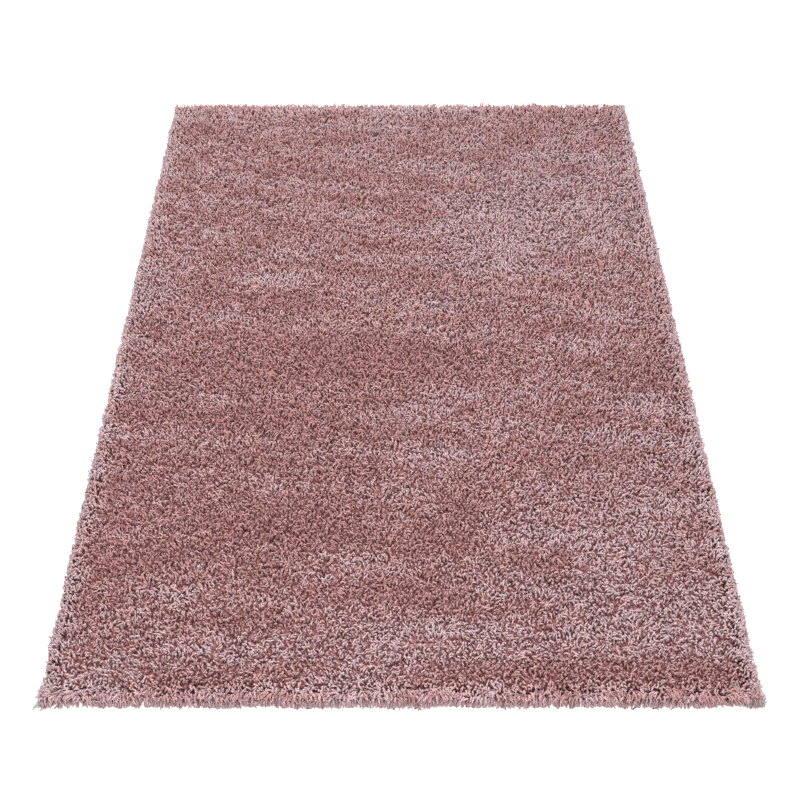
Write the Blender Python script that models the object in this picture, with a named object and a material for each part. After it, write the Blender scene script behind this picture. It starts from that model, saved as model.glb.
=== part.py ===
"""A dusty-pink shag rug that lies flat on the floor, in metres, +Z up.

The origin is on the floor under the rug's middle. X runs across the rug, Y along it, and its front is at -Y.
Two pieces make it: the ground cloth, a thin woven sheet whose hem shows as an ear at each front corner, and
the pile that stands on it, a lumpy slab whose rim breaks up into locks that hang over the cloth's edge.
"""

import math
import random
from typing import NamedTuple

import bmesh
import bpy
from mathutils import Matrix, Vector

# The rug over the tips of its rim locks
RUG_WIDTH = 1.600
RUG_LENGTH = 2.300
RUG_HEIGHT = 0.050

# Ground cloth
CLOTH_THICKNESS = 0.002
CLOTH_INSET = 0.024
EAR_REACH = 0.020
EAR_ROOT = 0.034
CLOTH_GAP = 0.0003

# Pile slab: the rim is three rings of points, each at its own height and distance in from the rug's edge
LUMP_PITCH = 0.052
SHOULDER_INSET, SHOULDER_HEIGHT = 0.028, 0.042
BELLY_INSET, BELLY_HEIGHT = 0.015, 0.024
FOOT_INSET, FOOT_HEIGHT = 0.018, CLOTH_THICKNESS + CLOTH_GAP
FAN_RADIUS = 0.110
CORNER_ROUNDING = 0.10

# Lumps of the pile's top: a peak in each cell of a grid, and a dip at each of its corners
PEAK_HEIGHTS = (0.043, 0.050)
DIP_HEIGHTS = (0.034, 0.041)
PEAK_DRIFT = 0.007
DIP_DRIFT = 0.010
SWELL_HEIGHT = 0.0020
SWELL_LENGTH = 0.70
SHOULDER_DROP = 0.004
RIM_DRIFT = 0.0016

# Locks: the share of the rim's columns that have one, and of the locks, the shares that are in the upper tier
# and that end right at the rug's edge
LOCK_SHARE = 0.97
LOCK_SHARE_UPPER = 0.46
LOCK_SHARE_AT_EDGE = 0.30
LOCK_COUNT_MOST = 300
LOCK_TIP_INSET_MOST = 0.007
EAR_CLEARANCE = 0.050

SEED = 7

PILE_COLOUR = (0.445, 0.262, 0.262, 1.0)
CLOTH_COLOUR = (0.380, 0.400, 0.350, 1.0)


class LockStep(NamedTuple):
    """One step of a lock: where its end lies from its start, and how much of the start's size it keeps."""

    out: float
    droop: float
    width: float
    height: float
    sway_most: float


# The two steps of a lock that hangs from the upper half of the rim, and of one that rests on the floor
UPPER_LOCK = (LockStep(0.011, 0.0020, 0.74, 0.62, 0.0020), LockStep(0.006, 0.0120, 0.57, 0.42, 0.0045))
LOWER_LOCK = (LockStep(0.009, 0.0030, 0.74, 0.60, 0.0020), LockStep(0.005, 0.0060, 0.54, 0.40, 0.0045))


def clear_scene():
    """Remove every object that the file opened with."""
    for obj in list(bpy.data.objects):
        bpy.data.objects.remove(obj, do_unlink=True)


def make_material(name, colour, roughness):
    """A plain Principled material for one piece."""
    material = bpy.data.materials.new(name)
    material.use_nodes = True
    shader = material.node_tree.nodes["Principled BSDF"]
    shader.inputs["Base Color"].default_value = colour
    shader.inputs["Roughness"].default_value = roughness
    shader.inputs["Metallic"].default_value = 0.0
    return material


def make_collection(name):
    """The collection that holds the rug."""
    collection = bpy.data.collections.new(name)
    bpy.context.scene.collection.children.link(collection)
    return collection


# ---------------------------------------------------------------- ground cloth


def cloth_outline():
    """Corner points of the cloth, anticlockwise, with a pointed ear of hem at each front corner."""
    half_width = RUG_WIDTH / 2 - CLOTH_INSET
    half_length = RUG_LENGTH / 2 - CLOTH_INSET
    right_ear = [
        (half_width - EAR_ROOT, -half_length),
        (half_width - EAR_REACH / 2, -half_length - EAR_REACH / 4),
        (half_width + EAR_REACH, -half_length - EAR_REACH),
        (half_width + EAR_REACH / 4, -half_length + EAR_REACH / 2),
        (half_width, -half_length + EAR_ROOT),
    ]
    left_ear = [(-x, y) for x, y in reversed(right_ear)]
    return [*right_ear, (half_width, half_length), (-half_width, half_length), *left_ear]


def build_ground_cloth(collection):
    """The woven sheet that carries the pile: a flat outline with its thickness."""
    curve = bpy.data.curves.new("ground_cloth", "CURVE")
    curve.dimensions = "2D"
    curve.fill_mode = "BOTH"
    curve.extrude = CLOTH_THICKNESS / 2
    points = cloth_outline()
    spline = curve.splines.new("POLY")
    spline.points.add(len(points) - 1)
    for point, (x, y) in zip(spline.points, points):
        point.co = (x, y, 0.0, 1.0)
    spline.use_cyclic_u = True
    cloth = bpy.data.objects.new("ground_cloth", curve)
    cloth.location.z = CLOTH_THICKNESS / 2
    cloth.data.materials.append(make_material("ground_cloth_weave", CLOTH_COLOUR, 0.90))
    collection.objects.link(cloth)
    return cloth


# ------------------------------------------------------------------------ pile


def outward(point):
    """Horizontal direction from the rug to its edge at a point of the rim, fanning out round each corner.

    Its larger part is always about 1, so that a step along it moves square corners and straight sides alike.
    """
    core = Vector((RUG_WIDTH / 2 - FAN_RADIUS, RUG_LENGTH / 2 - FAN_RADIUS))
    away = Vector((
        point.x - max(-core.x, min(core.x, point.x)),
        point.y - max(-core.y, min(core.y, point.y)),
    ))
    small, large = sorted((abs(away.x), abs(away.y)))
    away *= (1.0 - CORNER_ROUNDING * small / large) / large
    return Vector((away.x, away.y, 0.0))


def swell(x, y):
    """The slow rise and fall of a floor rug's top, from -1 to 1."""
    turn = 2.0 * math.pi / SWELL_LENGTH
    return 0.5 * (math.sin(turn * (0.62 * x + 0.81 * y)) + math.sin(turn * (0.93 * x - 0.47 * y) + 1.3))


def drift(vert, most, draw):
    """Moves a point sideways at random, by up to a distance along each axis."""
    vert.co.x += draw.uniform(-most, most)
    vert.co.y += draw.uniform(-most, most)


def make_top(mesh, draw):
    """The pile's top: a grid with an uneven lump in each cell. Returns the edges of its border."""
    width = RUG_WIDTH - 2 * SHOULDER_INSET
    length = RUG_LENGTH - 2 * SHOULDER_INSET
    bmesh.ops.create_grid(
        mesh,
        x_segments=round(width / LUMP_PITCH),
        y_segments=round(length / LUMP_PITCH),
        size=0.5,
        matrix=Matrix.Diagonal((width, length, 1.0, 1.0)),
    )
    border = [edge for edge in mesh.edges if edge.is_boundary]
    rim = {vert for edge in border for vert in edge.verts}
    for vert in mesh.verts:
        rise = SWELL_HEIGHT * swell(vert.co.x, vert.co.y)
        if vert in rim:
            vert.co.z = SHOULDER_HEIGHT + rise - SHOULDER_DROP * draw.random() ** 2
        else:
            drift(vert, DIP_DRIFT, draw)
            vert.co.z = draw.uniform(*DIP_HEIGHTS) + rise
    for vert in bmesh.ops.poke(mesh, faces=mesh.faces)["verts"]:
        rise = SWELL_HEIGHT * swell(vert.co.x, vert.co.y)
        drift(vert, PEAK_DRIFT, draw)
        vert.co.z = min(RUG_HEIGHT, draw.uniform(*PEAK_HEIGHTS) + rise)
    bmesh.ops.subdivide_edges(mesh, edges=border, cuts=1)
    return [edge for edge in mesh.edges if edge.is_boundary]


def grow_ring(mesh, border, inset_from, inset_to, height, draw, level):
    """Extrudes the open border to a new ring. Returns the new border's edges and the ring's faces."""
    grown = bmesh.ops.extrude_edge_only(mesh, edges=border)["geom"]
    for vert in (item for item in grown if isinstance(item, bmesh.types.BMVert)):
        stray = draw.uniform(-RIM_DRIFT, RIM_DRIFT)
        vert.co += outward(vert.co) * (inset_from - inset_to + stray)
        vert.co.z = height if level else height + stray
    faces = [item for item in grown if isinstance(item, bmesh.types.BMFace)]
    edges = [item for item in grown if isinstance(item, bmesh.types.BMEdge) and item.is_boundary]
    return edges, faces


def past_edge(verts):
    """How far the outermost of these points lies past the rug's edge, less than 0 inside it."""
    return max(max(abs(v.co.x) - RUG_WIDTH / 2, abs(v.co.y) - RUG_LENGTH / 2) for v in verts)


def take_step(mesh, face, way, step, draw):
    """Extrudes one face by a step of a lock: outward, down, and narrower. Returns the new end face."""
    end = bmesh.ops.extrude_discrete_faces(mesh, faces=[face])["faces"][0]
    centre = end.calc_center_median()
    along = Vector((-way.y, way.x, 0.0)).normalized()
    sway = draw.uniform(-step.sway_most, step.sway_most)
    for vert in end.verts:
        offset = vert.co - centre
        sideways = along * offset.dot(along)
        vert.co = centre + sideways * step.width + (offset - sideways) * step.height
        vert.co += way * step.out + along * sway + Vector((0.0, 0.0, -step.droop))
    return end


def grow_lock(mesh, face, steps, draw):
    """Grows one lock of the pile out of a rim face, to its tip near the rug's edge."""
    way = outward(face.calc_center_median())
    tip = face
    for step in steps:
        tip = take_step(mesh, tip, way, step, draw)
    inset = 0.0 if draw.random() < LOCK_SHARE_AT_EDGE else draw.uniform(0.0, LOCK_TIP_INSET_MOST)
    shift = way * (-past_edge(tip.verts) - inset)
    if steps is LOWER_LOCK:
        shift.z = -min(vert.co.z for vert in tip.verts)
    for vert in tip.verts:
        vert.co += shift


def near_ear(point):
    """Whether a rim point is near a front corner, where the cloth's ear lies on the floor."""
    return (
        abs(point.x) > RUG_WIDTH / 2 - EAR_CLEARANCE
        and point.y < -RUG_LENGTH / 2 + EAR_CLEARANCE
    )


def grow_locks(mesh, upper_faces, lower_faces, draw):
    """Turns most columns of the rim into a lock, from the upper or the lower ring of faces."""
    grown = 0
    for upper, lower in zip(upper_faces, lower_faces):
        if grown == LOCK_COUNT_MOST or draw.random() > LOCK_SHARE:
            continue
        if draw.random() < LOCK_SHARE_UPPER or near_ear(lower.calc_center_median()):
            grow_lock(mesh, upper, UPPER_LOCK, draw)
        else:
            grow_lock(mesh, lower, LOWER_LOCK, draw)
        grown += 1


def face_above(face, upper_faces):
    """The face of the upper ring that shares an edge with a face of the lower ring."""
    return next(other.face for edge in face.edges for other in edge.link_loops if other.face in upper_faces)


def build_pile(collection):
    """The standing yarn as one solid: a lumpy top, a rounded rim with its locks, and a flat underside."""
    draw = random.Random(SEED)
    mesh = bmesh.new()
    border = make_top(mesh, draw)
    border, upper = grow_ring(mesh, border, SHOULDER_INSET, BELLY_INSET, BELLY_HEIGHT, draw, level=False)
    border, lower = grow_ring(mesh, border, BELLY_INSET, FOOT_INSET, FOOT_HEIGHT, draw, level=True)
    bmesh.ops.contextual_create(mesh, geom=border)
    bmesh.ops.recalc_face_normals(mesh, faces=mesh.faces)
    upper_faces = set(upper)
    columns = [face_above(face, upper_faces) for face in lower]
    grow_locks(mesh, columns, lower, draw)
    data = bpy.data.meshes.new("pile")
    mesh.to_mesh(data)
    mesh.free()
    pile = bpy.data.objects.new("pile", data)
    pile.data.materials.append(make_material("pile_yarn", PILE_COLOUR, 0.95))
    collection.objects.link(pile)
    return pile


def main():
    """Builds the rug."""
    clear_scene()
    collection = make_collection("shag_rug")
    build_ground_cloth(collection)
    build_pile(collection)


main()
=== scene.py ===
"""The looks of a dusty-pink shag rug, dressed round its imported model. Metres, +Z up, its front edge at -Y."""

import logging
import math
from dataclasses import dataclass, field, fields, replace
from enum import Enum
from typing import NamedTuple

import bpy
import numpy as np
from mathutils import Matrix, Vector
from mathutils.bvhtree import BVHTree


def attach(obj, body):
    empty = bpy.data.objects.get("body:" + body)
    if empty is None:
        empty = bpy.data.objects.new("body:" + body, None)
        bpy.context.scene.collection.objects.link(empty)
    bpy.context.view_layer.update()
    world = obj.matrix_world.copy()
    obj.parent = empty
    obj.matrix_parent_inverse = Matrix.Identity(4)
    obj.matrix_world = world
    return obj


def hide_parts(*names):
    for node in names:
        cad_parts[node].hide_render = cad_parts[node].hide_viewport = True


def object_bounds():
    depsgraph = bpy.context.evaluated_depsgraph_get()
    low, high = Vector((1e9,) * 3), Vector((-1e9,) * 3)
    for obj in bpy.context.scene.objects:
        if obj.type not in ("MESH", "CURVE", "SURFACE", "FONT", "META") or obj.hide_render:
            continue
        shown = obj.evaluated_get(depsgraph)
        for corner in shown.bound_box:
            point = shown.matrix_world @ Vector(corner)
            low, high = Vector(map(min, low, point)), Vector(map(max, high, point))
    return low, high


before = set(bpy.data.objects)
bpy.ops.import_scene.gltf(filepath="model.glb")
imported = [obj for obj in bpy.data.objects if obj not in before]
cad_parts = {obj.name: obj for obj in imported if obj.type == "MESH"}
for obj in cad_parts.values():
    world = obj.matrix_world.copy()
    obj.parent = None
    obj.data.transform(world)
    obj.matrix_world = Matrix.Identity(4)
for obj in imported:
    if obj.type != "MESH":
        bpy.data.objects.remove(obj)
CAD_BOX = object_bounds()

LOG = logging.getLogger("shag_rug")

Colour = tuple[float, float, float]
Place = tuple[float, float, float]
Span = tuple[float, float]
Points = np.ndarray
Draw = np.random.Generator
Output = bpy.types.NodeSocket


class Seed(Enum):
    """What is drawn at random, each from its own source."""

    PILE = 20
    LAY = 21
    CAST = 22
    OUTLINE = 23
    CLOTH = 25

    def draw(self) -> Draw:
        """A new source of random numbers, the same every time."""
        return np.random.default_rng(self.value)


# ------------------------------------------------------------------ the rug's own measures


LOW, HIGH = (np.array(corner, float) for corner in CAD_BOX)
HALF_WIDTH = float(HIGH[0] - LOW[0]) / 2
HALF_LENGTH = float(HIGH[1] - LOW[1]) / 2
PERIMETER = 4.0 * (HALF_WIDTH + HALF_LENGTH)
FAN_RADIUS = 0.110
NO_LENGTH = 1e-9
NO_SLOPE = 1e-6


class Patch(NamedTuple):
    """A stretch of pile that hands and feet have brushed: where it is, its reach each way, and its lay.

    A lay above 0 is combed flat and looks pale, and one below 0 stands up and looks deep. Part of that comes
    from the pile's shape, and part is painted light and shade in the yarn's tone.
    """

    x: float
    y: float
    reach_x: float
    reach_y: float
    lay: float


BRUSHED = (
    Patch(0.37, 0.50, 0.30, 0.13, 0.75),
    Patch(0.27, 0.32, 0.12, 0.06, 0.55),
    Patch(-0.03, 1.05, 0.16, 0.05, 0.45),
    Patch(0.53, 0.72, 0.20, 0.13, 0.30),
    Patch(0.32, 0.82, 0.12, 0.06, 0.20),
    Patch(-0.03, 0.82, 0.10, 0.05, 0.25),
    Patch(0.70, -0.41, 0.06, 0.05, 0.20),
    Patch(0.17, 0.10, 0.12, 0.08, 0.15),
    Patch(0.67, 0.82, 0.08, 0.10, 0.40),
    Patch(-0.71, 0.22, 0.05, 0.08, 0.40),
    Patch(-0.34, 0.26, 0.10, 0.05, 0.30),
    Patch(-0.03, 0.08, 0.10, 0.04, 0.40),
    Patch(0.67, 0.00, 0.08, 0.06, 0.35),
    Patch(-0.29, -0.25, 0.12, 0.03, 0.35),
    Patch(0.15, -0.26, 0.12, 0.03, 0.60),
    Patch(0.14, -0.45, 0.09, 0.04, 0.45),
    Patch(0.69, -0.38, 0.07, 0.10, 0.50),
    Patch(0.44, -0.65, 0.12, 0.05, 0.55),
    Patch(0.66, -0.66, 0.08, 0.07, 0.40),
    Patch(0.53, -0.78, 0.12, 0.06, 0.60),
    Patch(0.70, -0.90, 0.07, 0.07, 0.50),
    Patch(0.56, -0.98, 0.18, 0.06, 0.85),
    Patch(-0.47, -0.90, 0.12, 0.05, 0.40),
    Patch(-0.33, -1.02, 0.10, 0.035, 0.62),
    Patch(-0.35, 1.11, 0.28, 0.028, 0.35),
    Patch(0.30, 1.10, 0.30, 0.025, 0.12),
    Patch(-0.07, -1.04, 0.14, 0.05, 0.90),
    Patch(0.14, -1.01, 0.09, 0.04, 0.50),
    Patch(-0.67, -1.10, 0.10, 0.05, 0.60),
    Patch(0.03, 0.62, 0.12, 0.08, -0.35),
    Patch(0.03, 0.37, 0.10, 0.08, -0.30),
    Patch(-0.42, 0.12, 0.10, 0.04, -0.40),
    Patch(-0.14, 0.14, 0.08, 0.04, -0.35),
    Patch(-0.24, -0.11, 0.26, 0.06, -0.75),
    Patch(0.00, -0.13, 0.08, 0.03, -0.50),
    Patch(0.73, -0.16, 0.09, 0.05, -0.50),
    Patch(-0.45, -0.31, 0.16, 0.05, -0.60),
    Patch(-0.69, -0.57, 0.08, 0.06, -0.50),
    Patch(-0.30, -0.70, 0.18, 0.05, -0.65),
    Patch(-0.69, -0.79, 0.08, 0.05, -0.45),
    Patch(0.10, -0.69, 0.10, 0.05, -0.45),
    Patch(0.04, -0.90, 0.08, 0.04, -0.40),
    Patch(-0.30, -1.083, 0.12, 0.022, -0.50),
    Patch(0.54, -0.85, 0.14, 0.06, -0.32),
    Patch(0.53, -1.03, 0.10, 0.04, -0.25),
    Patch(0.23, -0.75, 0.10, 0.05, -0.25),
    Patch(-0.30, -0.94, 0.14, 0.05, -0.22),
    Patch(0.42, -1.083, 0.34, 0.020, -0.60),
    Patch(0.72, -1.09, 0.06, 0.04, -0.40),
    Patch(-0.12, -0.14, 0.18, 0.12, -0.28),
    Patch(-0.30, -0.46, 0.09, 0.12, -0.30),
    Patch(-0.44, -0.75, 0.08, 0.07, -0.30),
    Patch(0.33, -0.52, 0.07, 0.05, -0.30),
    Patch(-0.34, -0.94, 0.07, 0.05, -0.25),
    Patch(0.45, 0.56, 0.16, 0.12, 0.30),
    Patch(0.36, -0.82, 0.16, 0.14, 0.30),
    Patch(0.58, -0.94, 0.12, 0.07, 0.25),
    Patch(-0.02, -1.04, 0.07, 0.04, 0.25),
)


class Ripple(NamedTuple):
    """A soft irregular unevenness: its size, and its usual wavelength across and along the rug."""

    size: float
    wave_x: float
    wave_y: float

    def at(self, x: Points, y: Points, draw: Draw) -> Points:
        """Adds up random waves at each place.

        Args:
            x: Places across the rug.
            y: Places along the rug.
            draw: The source of random numbers.

        Returns:
            One value for each place, of about the ripple's size either way.
        """
        waves, slowest, fastest = 20, 0.6, 1.5
        turn = draw.uniform(0.0, 2.0 * math.pi, waves)
        rate = draw.uniform(slowest, fastest, waves)
        phase = draw.uniform(0.0, 2.0 * math.pi, waves)
        total = np.zeros_like(x)
        for angle, speed, start in zip(turn, rate, phase):
            path = x * math.cos(angle) / self.wave_x + y * math.sin(angle) / self.wave_y
            total += np.cos(2.0 * math.pi * speed * path + start)
        return self.size * (total * math.sqrt(2.0 / waves))


def outward(x: Points, y: Points) -> tuple[Points, Points]:
    """Finds the way from the rug's core to its edge, which fans out round each corner.

    Args:
        x: Places across the rug.
        y: Places along the rug.

    Returns:
        The unit direction's part across and its part along, for each place.
    """
    away_x = x - np.clip(x, FAN_RADIUS - HALF_WIDTH, HALF_WIDTH - FAN_RADIUS)
    away_y = y - np.clip(y, FAN_RADIUS - HALF_LENGTH, HALF_LENGTH - FAN_RADIUS)
    length = np.maximum(np.hypot(away_x, away_y), NO_LENGTH)
    return away_x / length, away_y / length


def inset_of(x: Points, y: Points) -> Points:
    """How far in from the nearest edge of the rug each place is."""
    return np.minimum(HALF_WIDTH - np.abs(x), HALF_LENGTH - np.abs(y))


def nearness(distance: Points, reach: float) -> Points:
    """1 at no distance, falling evenly to 0 at the reach and past it."""
    return np.clip(1.0 - distance / reach, 0.0, 1.0)


def between(span: Span, share: Points) -> Points:
    """Values that go from a span's first end to its second as the share goes from 0 to 1."""
    return span[0] + (span[1] - span[0]) * share


# ------------------------------------------------------------------ shader groups


# A yarn's map: across it are two casts of 32 tones each, one cell for a tone, and a cell goes round the yarn.
# Up the map is up the yarn, from its root to its tip.
YARN_MAP = "OFBake"
TONES = 32
CASTS = 2
# The yarn's colours: three tones and two casts, then the painted shade of its plies' grooves and of its root.
YARN_COLOURS = ("deep", "middle", "pale", "warm", "cool", "groove", "root")


class Shared(Enum):
    """The node groups that the materials share."""

    YARN_SHADE = "yarn_shade"
    PLY_TWIST = "ply_twist"
    FIBRE_FUZZ = "fibre_fuzz"


class Socket(Enum):
    """The kinds of socket that a shared group has."""

    VALUE = "NodeSocketFloat"
    COLOUR = "NodeSocketColor"
    VECTOR = "NodeSocketVector"


class Mixing(Enum):
    """How two colours are put together."""

    PLAIN = "MIX"
    DYE_AND_SHADE = "MULTIPLY"
    FLECK = "OVERLAY"


class NodeBench:
    """Adds and joins the nodes of one node tree."""

    MIX_INPUTS = (0, 6, 7)
    MIX_RESULT = 2

    def __init__(self, tree: bpy.types.NodeTree) -> None:
        """Takes the tree to work on."""
        self.tree = tree

    def add(self, kind: str, **settings: object) -> bpy.types.Node:
        """Adds a node and sets its properties.

        Args:
            kind: The node's type.
            settings: Its properties by name.

        Returns:
            The new node.
        """
        node = self.tree.nodes.new(kind)
        for name, value in settings.items():
            setattr(node, name, value)
        return node

    def feed(self, socket: bpy.types.NodeSocket, value: object) -> None:
        """Links a socket to another, or sets its own value.

        Args:
            socket: The input to feed.
            value: The output that it is linked to, or a plain value.
        """
        if isinstance(value, bpy.types.NodeSocket):
            self.tree.links.new(value, socket)
        else:
            socket.default_value = value

    def math(self, operation: str, *values: object, clamp: bool = False) -> Output:
        """Adds a Math node.

        Args:
            operation: What it works out.
            values: Its inputs in order.
            clamp: Whether its result is held between 0 and 1.

        Returns:
            Its result.
        """
        node = self.add("ShaderNodeMath", operation=operation, use_clamp=clamp)
        for socket, value in zip(node.inputs, values):
            self.feed(socket, value)
        return node.outputs[0]

    def blend(self, share: object, first: object, second: object, mixing: Mixing = Mixing.PLAIN) -> Output:
        """Adds a node that puts two colours together.

        Args:
            share: How much of the second there is, from 0 to 1.
            first: The first colour.
            second: The second colour.
            mixing: How they are put together.

        Returns:
            The new colour.
        """
        node = self.add("ShaderNodeMix", data_type="RGBA", blend_type=mixing.value, clamp_factor=True)
        for number, value in zip(self.MIX_INPUTS, (share, first, second)):
            self.feed(node.inputs[number], value)
        return node.outputs[self.MIX_RESULT]

    def ramp(self, value: object, start: object, end: object) -> Output:
        """Adds a smooth step from 0 to 1.

        Args:
            value: What is stepped.
            start: Where the step leaves 0.
            end: Where it reaches 1.

        Returns:
            The stepped value.
        """
        node = self.add("ShaderNodeMapRange", interpolation_type="SMOOTHSTEP")
        for name, setting in zip(("Value", "From Min", "From Max"), (value, start, end)):
            self.feed(node.inputs[name], setting)
        return node.outputs[0]

    def noise(self, vector: object, scale: object, detail: float) -> Output:
        """Adds a Noise Texture.

        Args:
            vector: Where it is read.
            scale: How fine it is.
            detail: How many finer sizes it holds.

        Returns:
            Its value.
        """
        node = self.add("ShaderNodeTexNoise")
        self.feed(node.inputs["Vector"], vector)
        self.feed(node.inputs["Scale"], scale)
        self.feed(node.inputs["Detail"], detail)
        return node.outputs["Fac"]

    def parts(self, vector: Output) -> tuple[Output, Output]:
        """Splits a vector.

        Args:
            vector: What is split.

        Returns:
            Its part across and its part along.
        """
        node = self.add("ShaderNodeSeparateXYZ")
        self.feed(node.inputs[0], vector)
        return node.outputs[0], node.outputs[1]

    def group(self, shared: Shared, **inputs: object) -> bpy.types.Node:
        """Places a shared group.

        Args:
            shared: Which group.
            inputs: What its named inputs are fed.

        Returns:
            The group's node.
        """
        node = self.add("ShaderNodeGroup", node_tree=bpy.data.node_groups[shared.value])
        for name, value in inputs.items():
            self.feed(node.inputs[name.replace("_", " ").title()], value)
        return node

    def relief(self, shader: bpy.types.Node, height: Output, strength: float, depth: float) -> None:
        """Gives a shader's surface its bumps.

        Args:
            shader: The Principled node.
            height: The bumps' height, from 0 to 1.
            strength: How plainly they show.
            depth: How deep they are.
        """
        bump = self.add("ShaderNodeBump")
        bump.inputs["Strength"].default_value = strength
        bump.inputs["Distance"].default_value = depth
        self.feed(bump.inputs["Height"], height)
        self.feed(shader.inputs["Normal"], bump.outputs[0])


@dataclass
class GroupShelf:
    """Builds the node groups that the rug's materials share."""

    fleck_share: float = 0.25
    fleck_scale: float = 90.0
    fleck_detail: float = 1.0
    ply_fullness: float = 0.6
    coarse_detail: float = 3.0
    fine_fibre: float = 3.1
    fine_detail: float = 2.0
    fine_share: float = 0.45

    def build(self) -> None:
        """Builds every shared group once."""
        self.yarn_shade()
        self.ply_twist()
        self.fibre_fuzz()

    def open(
        self, shared: Shared, inputs: dict[str, Socket], outputs: dict[str, Socket]
    ) -> tuple[NodeBench, bpy.types.Node, bpy.types.Node]:
        """Starts a group with its named sockets.

        Args:
            shared: Which group.
            inputs: The kind of each input by name.
            outputs: The kind of each output by name.

        Returns:
            The bench, the group's input node and its output node.
        """
        tree = bpy.data.node_groups.new(shared.value, "ShaderNodeTree")
        for way, sockets in (("INPUT", inputs), ("OUTPUT", outputs)):
            for name, kind in sockets.items():
                tree.interface.new_socket(name, in_out=way, socket_type=kind.value)
        bench = NodeBench(tree)
        return bench, bench.add("NodeGroupInput"), bench.add("NodeGroupOutput")

    def yarn_shade(self) -> None:
        """Colour of a yarn by its map's cell, with painted shade: redder and darker in its plies' grooves and
        at its root.
        """
        bench, given, result = self.open(
            Shared.YARN_SHADE,
            {
                "Map": Socket.VECTOR,
                **{colour_name.title(): Socket.COLOUR for colour_name in YARN_COLOURS},
                "Ridge": Socket.VALUE,
                "Root Reach": Socket.VALUE,
            },
            {"Color": Socket.COLOUR},
        )
        deep, middle, pale, warm, cool, groove, root = (given.outputs[colour_name.title()] for colour_name in YARN_COLOURS)
        across, up_yarn = bench.parts(given.outputs["Map"])
        cell = bench.math("FLOOR", bench.math("MULTIPLY", across, float(TONES * CASTS)))
        is_cool = bench.math("GREATER_THAN", cell, TONES - 0.5)
        column = bench.math("MODULO", cell, float(TONES))
        doubled = bench.math("DIVIDE", bench.math("ADD", column, 0.5), 0.5 * TONES)
        lower = bench.blend(bench.math("MINIMUM", doubled, 1.0), deep, middle)
        toned = bench.blend(bench.math("SUBTRACT", doubled, 1.0, clamp=True), lower, pale)
        dyed = bench.blend(1.0, toned, bench.blend(is_cool, warm, cool), Mixing.DYE_AND_SHADE)
        fleck = bench.noise(given.outputs["Map"], self.fleck_scale, self.fleck_detail)
        flecked = bench.blend(self.fleck_share, dyed, fleck, Mixing.FLECK)
        # Painted shade: darker and redder in the plies' grooves, where the ridge is low.
        groove_shaded = bench.blend(1.0, flecked, groove, Mixing.DYE_AND_SHADE)
        twisted = bench.blend(given.outputs["Ridge"], groove_shaded, flecked)
        # Painted shade: darker and redder towards the root, down in the pile.
        root_shaded = bench.blend(1.0, twisted, root, Mixing.DYE_AND_SHADE)
        grown = bench.ramp(up_yarn, 0.0, given.outputs["Root Reach"])
        bench.feed(result.inputs["Color"], bench.blend(grown, root_shaded, twisted))

    def ply_twist(self) -> None:
        """Height of the plies that twist round a yarn, from its map: round it in a cell, and along it."""
        bench, given, result = self.open(
            Shared.PLY_TWIST,
            {"Map": Socket.VECTOR, "Turns": Socket.VALUE, "Plies": Socket.VALUE},
            {"Height": Socket.VALUE},
        )
        across, up_yarn = bench.parts(given.outputs["Map"])
        around = bench.math("FRACT", bench.math("MULTIPLY", across, float(TONES * CASTS)))
        wound = bench.math("MULTIPLY", around, given.outputs["Plies"])
        risen = bench.math("MULTIPLY", up_yarn, given.outputs["Turns"])
        angle = bench.math("MULTIPLY", bench.math("ADD", wound, risen), 2.0 * math.pi)
        ridge = bench.math("MULTIPLY_ADD", bench.math("SINE", angle), 0.5, 0.5)
        bench.feed(result.inputs["Height"], bench.math("POWER", ridge, self.ply_fullness))

    def fibre_fuzz(self) -> None:
        """Height of tangled fibre of two sizes."""
        bench, given, result = self.open(
            Shared.FIBRE_FUZZ,
            {"Place": Socket.VECTOR, "Grain": Socket.VALUE},
            {"Height": Socket.VALUE},
        )
        place, grain = given.outputs["Place"], given.outputs["Grain"]
        coarse = bench.noise(place, grain, self.coarse_detail)
        fine = bench.noise(place, bench.math("MULTIPLY", grain, self.fine_fibre), self.fine_detail)
        rest = bench.math("MULTIPLY", coarse, 1.0 - self.fine_share)
        bench.feed(result.inputs["Height"], bench.math("MULTIPLY_ADD", fine, self.fine_share, rest))


# ------------------------------------------------------------------ finishes


def opaque(colour: Colour) -> tuple[float, float, float, float]:
    """A colour with full alpha."""
    return (*colour, 1.0)


def new_material(
    name: str, roughness: float, specular: float
) -> tuple[bpy.types.Material, NodeBench, bpy.types.Node]:
    """Starts a material with its Principled shader.

    Args:
        name: The material's name.
        roughness: How rough the surface is.
        specular: How much it shines at all.

    Returns:
        The material, its node bench and its Principled node.
    """
    material = bpy.data.materials.new(name)
    material.use_nodes = True
    material.node_tree.nodes.clear()
    bench = NodeBench(material.node_tree)
    shader = bench.add("ShaderNodeBsdfPrincipled")
    shader.inputs["Roughness"].default_value = roughness
    shader.inputs["Specular IOR Level"].default_value = specular
    output = bench.add("ShaderNodeOutputMaterial")
    bench.feed(output.inputs["Surface"], shader.outputs[0])
    return material, bench, shader


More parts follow.
